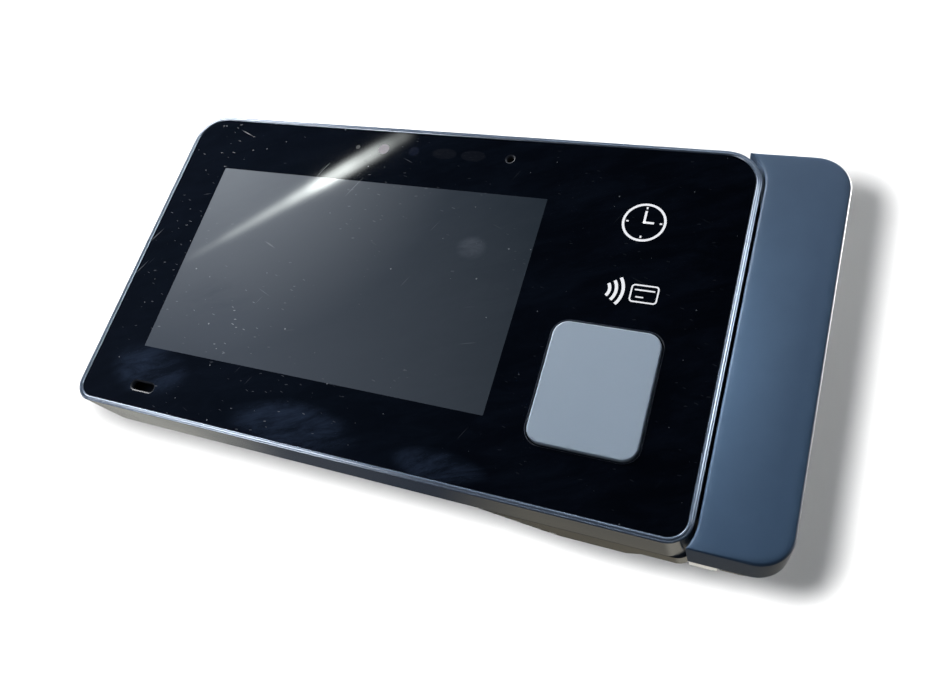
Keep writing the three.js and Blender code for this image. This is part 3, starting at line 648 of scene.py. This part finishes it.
def glass_inlays():
    """Display, status light, light sensor, camera and two presence sensors, in that order."""
    display_area = centred(DISPLAY_X, 0, DISPLAY_WIDTH, DISPLAY_HEIGHT, 0.3, steps=2)
    status_light = circle(-54.3, SENSOR_ROW, 1.0, 20)
    light_sensor = circle(-41.6, SENSOR_ROW, 2.5)
    camera_window = circle(-27.1, SENSOR_ROW, 2.25)
    presence_sensors = [ellipse(x, SENSOR_ROW, 5.4, 2.6) for x in (-12.9, 0)]
    return [display_area, status_light, light_sensor, camera_window, *presence_sensors]


def cover_glass(materials):
    """Black glass with real holes and flush inlays.

    The materials are the glass, one for each inlay, and the ground edges of the holes.
    """
    edge_chamfer = 0.15
    outer = BORDER + 0.15
    # Each hole with the width and depth of its chamfer.
    holes = [(pad_hole, 0.25, 0.2), (speaker_slot, 0.5, 0.35), (microphone_hole, 0.5, 0.35)]
    bm = bmesh.new()
    loft(bm, [
        ring_at(main_outline(outer), GLASS_BACK),
        ring_at(main_outline(outer), GLASS_FRONT + edge_chamfer),
        ring_at(main_outline(outer + edge_chamfer), GLASS_FRONT),
    ])
    walls = len(bm.faces)
    for shape, width, depth in holes:
        loft(bm, [
            ring_at(shape(width), GLASS_FRONT),
            ring_at(shape(0), GLASS_FRONT + depth),
            ring_at(shape(0), GLASS_BACK),
        ])
    for face in list(bm.faces)[walls:]:
        face.material_index = len(materials) - 1
    wide = [shape(width) for shape, width, _ in holes]
    tight = [shape(0) for shape, _, _ in holes]
    flat_cap(bm, main_outline(outer + edge_chamfer), wide, glass_inlays(),
             GLASS_FRONT)
    flat_cap(bm, main_outline(outer), tight, [], GLASS_BACK)
    obj = finish_mesh("printed_glass", bm, materials, 20)
    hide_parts("cover_glass")
    return obj


def reader_pad(materials):
    """Satin pad that stands proud of the glass, with a flange behind it."""
    back = pad_high.y - FRONT
    face = pad_low.y - FRONT
    edge = 0.5
    flange_front = GLASS_BACK + 1.2
    profile = [(-PAD_FLANGE, back), (-PAD_FLANGE, flange_front), (0, flange_front),
               (0, face + edge)]
    profile += rounding(0, face, edge)[1:]
    profile += [(edge + 0.25, face), (edge + 1.2, face)]
    bm = bmesh.new()
    rings = loft(bm, [
        ring_at(centred(PAD_X, PAD_Z, PAD_WIDTH, PAD_HEIGHT, PAD_CORNER, -inset), depth)
        for inset, depth in profile
    ])
    bm.faces.new(rings[0])
    bm.faces.new(rings[-1])
    obj = finish_mesh("satin_pad", bm, materials)
    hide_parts("reader_pad")
    return obj


FLARE_RADIUS = 18
FLARE_TOP = 58.4
FLARE_BOTTOM = -64


def swipe_outline(inset, flare=True, steps=14):
    """Outline of the swipe module: straight along the slot, flared round the body's corners.

    Without the flare the slot side is straight to its ends, with as many points as before.
    """
    x0 = SWIPE_LEFT + inset
    x1 = RIGHT - inset
    z0 = BOTTOM + inset
    z1 = TOP - inset
    low = SWIPE_CORNER_BOTTOM - inset
    high = SWIPE_CORNER_TOP - inset
    right_side = [*arc(x1 - low, z0 + low, low, -90, 0, steps),
                  *arc(x1 - high, z1 - high, high, 0, 90, steps)]
    if not flare:
        parts = 2 * steps + 1
        return [*right_side, *[(x0, z1 - (z1 - z0) * i / parts) for i in range(parts + 1)]]
    radius = FLARE_RADIUS + inset
    reach_top = math.degrees(math.asin((z1 - FLARE_TOP) / radius))
    reach_bottom = math.degrees(math.asin((FLARE_BOTTOM - z0) / radius))
    return [
        *right_side,
        *arc(x0 - radius, FLARE_TOP, radius, reach_top, 0, steps),
        *arc(x0 - radius, FLARE_BOTTOM, radius, 0, -reach_bottom, steps),
    ]


def swipe_cover(materials):
    """Soft-touch shell of the swipe module, open at the back, its face rolled off at the edge."""
    edge = 1.0
    wall = 1.8
    roll = 0.15
    profile = [(0.2, SEAM_DEPTH), (0, SEAM_DEPTH - 0.2), (0, SEAM_DEPTH - 0.6),
               (0, edge + roll + 0.3)]
    profile += rounding(0, roll, edge)[:-1]
    # From here the face runs out flat in ever smaller steps of depth.
    profile += [(1.1, 0.13), (1.5, 0.072), (2.0, 0.036), (2.6, 0.012), (3.4, 0), (4.2, 0)]
    bm = bmesh.new()
    rings = loft(bm, [ring_at(swipe_outline(inset), depth) for inset, depth in profile])
    bm.faces.new(rings[-1])
    inner = loft(bm, [
        ring_at(swipe_outline(wall, False), SEAM_DEPTH),
        ring_at(swipe_outline(wall, False), wall),
    ])
    bm.faces.new(inner[-1])
    for i, vert in enumerate(rings[0]):
        j = (i + 1) % len(rings[0])
        bm.faces.new((vert, rings[0][j], inner[0][j], inner[0][i]))
    obj = finish_mesh("swipe_shell", bm, materials, 50)
    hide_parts("swipe_cover")
    return obj


def soften(node, width, material, segments=2, limit=35):
    """Gives a CAD node eased edges and its finish, without moving its vertices."""
    obj = nodes[node]
    weld = obj.modifiers.new("weld", "WELD")
    weld.merge_threshold = 1e-6
    flatten = obj.modifiers.new("flatten", "DECIMATE")
    flatten.decimate_type = "DISSOLVE"
    flatten.angle_limit = math.radians(1)
    if width:
        ease = obj.modifiers.new("ease", "BEVEL")
        ease.width = width * MM
        ease.segments = segments
        ease.limit_method = "ANGLE"
        ease.angle_limit = math.radians(limit)
    flat_shading = obj.modifiers.new("flat_shading", "WEIGHTED_NORMAL")
    flat_shading.weight = 100
    flat_shading.keep_sharp = True
    obj.data.shade_smooth()
    obj.data.set_sharp_from_angle(angle=math.radians(limit))
    obj.data.materials.clear()
    obj.data.materials.append(material)
    return obj


# ------------------------------------------------------------------ printed pictograms

PRINT_BACK = GLASS_FRONT - 0.01
PRINT_FRONT = GLASS_FRONT - 0.04


def stroke(bm, points, width):
    """Thin printed line of one width along a path, with square ends."""
    half = width / 2
    sides = []
    for i, (x, z) in enumerate(points):
        before = points[max(i - 1, 0)]
        after = points[min(i + 1, len(points) - 1)]
        along = Vector((after[0] - before[0], after[1] - before[1])).normalized()
        sides.append(((x - along.y * half, z + along.x * half),
                      (x + along.y * half, z - along.x * half)))
    rings = []
    for (ax, az), (bx, bz) in sides:
        rings.append([place(ax, PRINT_FRONT, az), place(bx, PRINT_FRONT, bz),
                      place(bx, PRINT_BACK, bz), place(ax, PRINT_BACK, az)])
    made = loft(bm, rings)
    bm.faces.new(made[0])
    bm.faces.new(made[-1])


def closed_stroke(bm, points, width):
    """Printed line round a closed outline, given with its points anticlockwise."""
    count = len(points)
    outer = []
    inner = []
    for i, (x, z) in enumerate(points):
        before = points[i - 1]
        after = points[(i + 1) % count]
        along = Vector((after[0] - before[0], after[1] - before[1])).normalized()
        outer.append((x + along.y * width / 2, z - along.x * width / 2))
        inner.append((x - along.y * width / 2, z + along.x * width / 2))
    loft(bm, [ring_at(outer, PRINT_BACK), ring_at(outer, PRINT_FRONT),
              ring_at(inner, PRINT_FRONT), ring_at(inner, PRINT_BACK)], close=True)


def clock_mark(material):
    """Plain clock dial: the terminal keeps working hours."""
    centre_x, centre_z, radius = 75, 39, 7.6
    rim_width, hand_width, tick_width = 0.9, 0.85, 0.6
    long_hand, short_hand, hand_tail = 4.9, 3.6, 0.3
    bm = bmesh.new()
    closed_stroke(bm, circle(centre_x, centre_z, radius, 56), rim_width)
    stroke(bm, [(centre_x, centre_z - hand_tail), (centre_x, centre_z + long_hand)], hand_width)
    stroke(bm, [(centre_x - hand_tail, centre_z), (centre_x + short_hand, centre_z)], hand_width)
    for quarter in range(4):
        angle = math.radians(90 * quarter)
        ends = [(centre_x + r * math.cos(angle), centre_z + r * math.sin(angle))
                for r in (radius - 1.9, radius - 1.0)]
        stroke(bm, ends, tick_width)
    obj = finish_mesh("clock_mark", bm, [material])


def card_mark(material):
    """Plain card outline with a stripe, beside three arcs: where a card is read."""
    waves_x, card_x, middle_z = 64.6, 81.2, 10.2
    wave_width, card_line, number_line = 1.15, 0.55, 0.5
    stripe_z, number_z = middle_z + 1.4, middle_z - 1.4
    bm = bmesh.new()
    for radius in (4.2, 6.6, 9.0):
        stroke(bm, arc(waves_x, middle_z, radius, -36, 36, 16), wave_width)
    closed_stroke(bm, centred(card_x, middle_z, 9.4, 6.6, 1.1, steps=6), card_line)
    stroke(bm, [(card_x - 3.6, stripe_z), (card_x + 3.6, stripe_z)], card_line)
    stroke(bm, [(card_x - 2.8, number_z), (card_x, number_z)], number_line)
    obj = finish_mesh("card_mark", bm, [material])


# ------------------------------------------------------------------ stage

# Fitted to the terminal's straight edges in the photo. Lengths are millimetres.
CAMERA_PLACE = (128.85, -296.3, -113.15)
CAMERA_DIRECTION = (-0.3653, 0.8759, 0.3154)
CAMERA_ROLL = 17.5
FOCAL_LENGTH = 30.566
SENSOR_WIDTH = 36


def camera():
    """Below and to the right of the terminal, looking up at it and rolled."""
    data = bpy.data.cameras.new("camera")
    data.sensor_width = SENSOR_WIDTH
    data.lens = FOCAL_LENGTH
    data.clip_start = 0.01
    data.clip_end = 20
    obj = bpy.data.objects.new("camera", data)
    scene.collection.objects.link(obj)
    roll = Quaternion((0, 0, 1), math.radians(CAMERA_ROLL))
    obj.location = Vector(CAMERA_PLACE) * MM
    obj.rotation_mode = "QUATERNION"
    obj.rotation_quaternion = Vector(CAMERA_DIRECTION).to_track_quat("-Z", "Y") @ roll
    scene.camera = obj
    return obj


def area_light(name, position, target, size, power, colour=(1, 1, 1), height=None,
               glint=False):
    """Soft light aimed at a target; a glint shows only in glossy reflections."""
    data = bpy.data.lights.new(name, "AREA")
    data.energy = power
    data.color = colour
    data.size = size
    if height:
        data.shape = "RECTANGLE"
        data.size_y = height
    obj = bpy.data.objects.new(name, data)
    obj.location = position
    obj.rotation_mode = "QUATERNION"
    obj.rotation_quaternion = (Vector(target) - Vector(position)).to_track_quat("-Z", "Y")
    obj.visible_camera = False
    obj.visible_diffuse = not glint
    scene.collection.objects.link(obj)
    return obj


def light_only(light, objects):
    """Keeps a light to a few objects."""
    group = bpy.data.collections.new("lit_by_" + light.name)
    for obj in objects:
        group.objects.link(obj)
    light.light_linking.receiver_collection = group


def drop_light(name, offset, power, radius, receivers):
    """Small light beside the camera that throws the body's shadow onto the backdrop only.

    Its offset is in millimetres along the camera's own axes, and its power doesn't fall off.
    """
    data = bpy.data.lights.new(name, "POINT")
    data.energy = power
    data.shadow_soft_size = radius
    data.use_nodes = True
    falloff = data.node_tree.nodes.new("ShaderNodeLightFalloff")
    falloff.inputs["Strength"].default_value = 1
    data.node_tree.links.new(falloff.outputs["Constant"],
                             data.node_tree.nodes["Emission"].inputs["Strength"])
    obj = bpy.data.objects.new(name, data)
    bpy.context.view_layer.update()
    obj.location = scene.camera.matrix_world @ (Vector(offset) * MM)
    scene.collection.objects.link(obj)
    light_only(obj, receivers)


def stage_plane(name, centre, size, facing, material):
    bm = bmesh.new()
    bmesh.ops.create_grid(bm, x_segments=1, y_segments=1, size=size / 2)
    mesh = bpy.data.meshes.new(name)
    bm.to_mesh(mesh)
    bm.free()
    mesh.materials.append(material)
    obj = bpy.data.objects.new(name, mesh)
    obj.location = centre
    obj.rotation_mode = "QUATERNION"
    obj.rotation_quaternion = Vector(facing).to_track_quat("Z", "Y")
    scene.collection.objects.link(obj)
    return obj


# What the surroundings look like in reflections, from left (0) to right (1).
IN_FRONT = [(0.0, (0.11, 0.145, 0.23)), (0.2, (0.055, 0.085, 0.15)),
            (0.34, (0.020, 0.032, 0.056)), (0.5, (0.005, 0.008, 0.014)),
            (1.0, (0.10, 0.12, 0.15))]
BEHIND = [(0.0, (0.75, 0.74, 0.68)), (0.18, (0.70, 0.69, 0.62)), (0.23, (0.10, 0.11, 0.13)),
          (0.32, (0.04, 0.05, 0.07)), (0.37, (0.24, 0.22, 0.17)), (0.47, (0.24, 0.22, 0.175)),
          (0.5, (0.5, 0.47, 0.39)), (1.0, (0.4, 0.38, 0.32))]
BELOW = [(0.0, (0.5, 0.5, 0.5)), (0.25, (0.12, 0.125, 0.14)), (1.0, (0.08, 0.08, 0.08))]
SKY = [(0.0, (0.75, 0.80, 0.90)), (0.5, (0.35, 0.40, 0.50)), (1.0, (0.75, 0.80, 0.90))]

# Where one gives way to the next, as the part of a unit direction that points back or up.
FRONT_TO_BEHIND = (-0.15, 0.25)
LEVEL_TO_BELOW = (-0.3, -0.6)
LEVEL_TO_SKY = (0.62, 0.95)


def build_world():
    """White to the camera. What lights and reflects is dim in front and toned behind."""
    world = bpy.data.worlds.new("studio")
    scene.world = world
    world.use_nodes = True
    world.node_tree.nodes.clear()
    graph = Graph(world.node_tree)
    x, y, z = graph.axes(graph.coordinates("Generated"))
    across = graph.spread(x, -1, 1)
    front, behind, below, sky = [graph.ramp(across, stops)
                                 for stops in (IN_FRONT, BEHIND, BELOW, SKY)]
    level = graph.mix(graph.spread(y, *FRONT_TO_BEHIND, smooth=True), front, behind)
    level = graph.mix(graph.spread(z, *LEVEL_TO_BELOW, smooth=True), level, below)
    around = graph.mix(graph.spread(z, *LEVEL_TO_SKY, smooth=True), level, sky)
    light = graph.add("ShaderNodeBackground")
    graph.link(around, light.inputs["Color"])
    seen = graph.add("ShaderNodeBackground")
    seen.inputs["Color"].default_value = (1, 1, 1, 1)
    choice = graph.add("ShaderNodeMixShader")
    graph.link(graph.add("ShaderNodeLightPath").outputs["Is Camera Ray"], choice.inputs["Fac"])
    graph.link(light.outputs[0], choice.inputs[1])
    graph.link(seen.outputs[0], choice.inputs[2])
    graph.link(choice.outputs[0], graph.add("ShaderNodeOutputWorld").inputs["Surface"])


def build_stage():
    paper = grained("backdrop_paper", (0.285, 0.285, 0.285), 0.9, grain=300, strength=0.05,
                    variation=0.01)
    floor = stage_plane("floor", (0, 0, -1.1), 8, (0, 0, 1), paper)
    wall = stage_plane("backdrop", (0, 0.45, 0), 8, (0, -1, 0), paper)
    for obj in (floor, wall):
        obj.visible_glossy = False
        obj.visible_diffuse = False
    return floor, wall


# The strip's brightness along its length and from its middle line to its sides, from 0 to 1.
STRIP_POWER = 30
STRIP_LEVELS = ((0.0, 0.0), (0.14, 0.035), (0.26, 0.10), (0.43, 0.16), (0.51, 0.27),
                (0.637, 0.65), (0.70, 0.70), (0.79, 0.45), (0.926, 0.12), (1.0, 0.0))
STRIP_SIDES = ((0.0, 1.0), (0.35, 0.75), (0.7, 0.15), (1.0, 0.0))
STRIP_HALF_SIZE = (0.36, 0.037, 1)
STRIP_CENTRE = (-1.083, -1.3, 0.762)
STRIP_SLOPE = -41.6


def grey_stops(levels):
    return [(position, (level, level, level)) for position, level in levels]


def strip_glow():
    """Light that swells along the strip, fades to its sides and is narrower at the far end."""
    material = bpy.data.materials.new("lit_strip")
    material.use_nodes = True
    material.node_tree.nodes.clear()
    graph = Graph(material.node_tree)
    x, y, _ = graph.axes(graph.coordinates("Object"))
    along = graph.maths("MULTIPLY_ADD", x, 0.5, 0.5)
    width = graph.spread(along, 0.15, 0.75, 0.45, 1)
    off_axis = graph.maths("DIVIDE", graph.maths("ABSOLUTE", y), width)
    lengthways = graph.ramp(along, grey_stops(STRIP_LEVELS), "EASE")
    sideways = graph.ramp(off_axis, grey_stops(STRIP_SIDES), "EASE")
    level = graph.maths("MULTIPLY", graph.maths("MULTIPLY", lengthways, sideways), STRIP_POWER)
    glow = graph.add("ShaderNodeEmission")
    glow.inputs["Color"].default_value = (0.94, 1.0, 0.97, 1)
    graph.link(level, glow.inputs["Strength"])
    both = graph.add("ShaderNodeAddShader")
    graph.link(glow.outputs[0], both.inputs[0])
    graph.link(graph.add("ShaderNodeBsdfTransparent").outputs[0], both.inputs[1])
    graph.link(both.outputs[0], graph.add("ShaderNodeOutputMaterial").inputs["Surface"])
    return material


def reflected_strip():
    """Narrow lit strip above and to the left, whose reflection crosses the glass."""
    obj = stage_plane("lit_strip", STRIP_CENTRE, 2, (0, 0, 1), strip_glow())
    obj.scale = STRIP_HALF_SIZE
    slope = Matrix.Rotation(math.radians(STRIP_SLOPE), 4, "Y")
    upright = Matrix.Rotation(math.radians(90), 4, "X")
    obj.rotation_quaternion = (slope @ upright).to_quaternion()
    obj.visible_camera = False


def build_lights(floor, wall, bezel_frame, satin_pad, swipe_shell):
    """Soft lights on everything, and lights that reach only the pieces they are linked to."""
    middle = (0, -0.03, 0)
    area_light("upper_left_key", (-1.0, -0.45, 0.85), middle, size=0.5, power=21,
               colour=(1.0, 0.99, 0.97))
    area_light("top", (0.1, -0.65, 1.15), middle, size=0.8, height=0.4, power=3.2,
               colour=(0.95, 0.98, 1.0))
    near = area_light("near_fill", (-0.05, -0.25, -0.2), (0.04, -0.043, 0), size=0.15, power=0.12)
    near.visible_glossy = False
    light_only(near, [satin_pad, swipe_shell])
    area_light("rear_fill", (-0.5, 0.42, 0.5), middle, size=0.35, power=3)
    lower_edge = area_light("lower_left", (-0.41, -0.39, -0.43), (-0.08, -0.043, -0.072),
                            size=0.25, power=6.5, colour=(1.0, 0.96, 0.93), glint=True)
    light_only(lower_edge, [bezel_frame])
    right_rim = area_light("right_rim", (1.0, -0.82, 0.53), (0.112, -0.043, 0),
                           size=0.6, power=36, colour=(0.95, 1.0, 0.98), glint=True)
    light_only(right_rim, [bezel_frame])
    swipe_rim = area_light("swipe_rim", (0.7, 0.3, 0.62), (0.14, -0.04, 0.03),
                           size=0.3, power=48, glint=True)
    light_only(swipe_rim, [swipe_shell])
    foot = area_light("foot_glint", (0.105, 0.36, -0.18), (0.117, -0.015, -0.072),
                      size=0.2, power=0.09)
    light_only(foot, [nodes["swipe_bracket"]])
    area_light("right_edge", (1.0, 0.15, 0.35), middle, size=0.3, power=18, glint=True)
    drop_light("drop_shadow", (-14.5, 10.5, -24), power=270, radius=0.014,
               receivers=(floor, wall))


# ------------------------------------------------------------------ build

scene.view_settings.view_transform = "Standard"

bezel = bezel_finish()
soft_touch = soft_touch_finish()
glass = glass_finish()
display = display_finish()
smoked = smoked_finish()
pale_disc_and_highlight = sensor_disc_highlight_finish()
dot = status_dot_finish()
lens = lens_finish()
frosted = frosted_edge_finish()
pad = pad_finish()
glowing_white_print = print_finish()
shell = shell_finish()
steel = metal_finish("stainless_steel", (0.62, 0.61, 0.59), 0.3)
pressed = metal_finish("zinc_plated_steel", (0.5, 0.5, 0.5), 0.42)
screws = metal_finish("plated_screw", (0.42, 0.42, 0.43), 0.32)
board = board_finish()
foam = foam_finish()
plastic = plastic_finish()
clear = clear_finish()
wrap = wrap_finish()
film = film_finish()

bezel_frame = front_frame([bezel])
cover_glass([glass, display, dot, pale_disc_and_highlight, lens, smoked, smoked, frosted])
satin_pad = reader_pad([pad])
swipe_shell = swipe_cover([soft_touch])
clock_mark(glowing_white_print)
card_mark(glowing_white_print)

slot_finish = {
    "rear_shell": shell, "soft_touch": soft_touch, "bezel": bezel, "stainless": steel,
    "pressed_steel": pressed, "plate_steel": pressed, "circuit_board": board,
    "black_plastic": plastic, "clear_plastic": clear, "lens": lens, "foam": foam,
    "battery_wrap": wrap, "flat_cable": film, "screws": screws, "display": display,
    "cover_glass": glass, "pad": pad,
}
# The nodes that the surfaces above replace are hidden. All the others get a finish here.
eased_edge = 0.3
for row in frame["record"]["subparts"]:
    if not nodes[row["node"]].hide_render:
        soften(row["node"], eased_edge, slot_finish[row["material_slot"]])

camera()
build_world()
build_lights(*build_stage(), bezel_frame, satin_pad, swipe_shell)
reflected_strip()
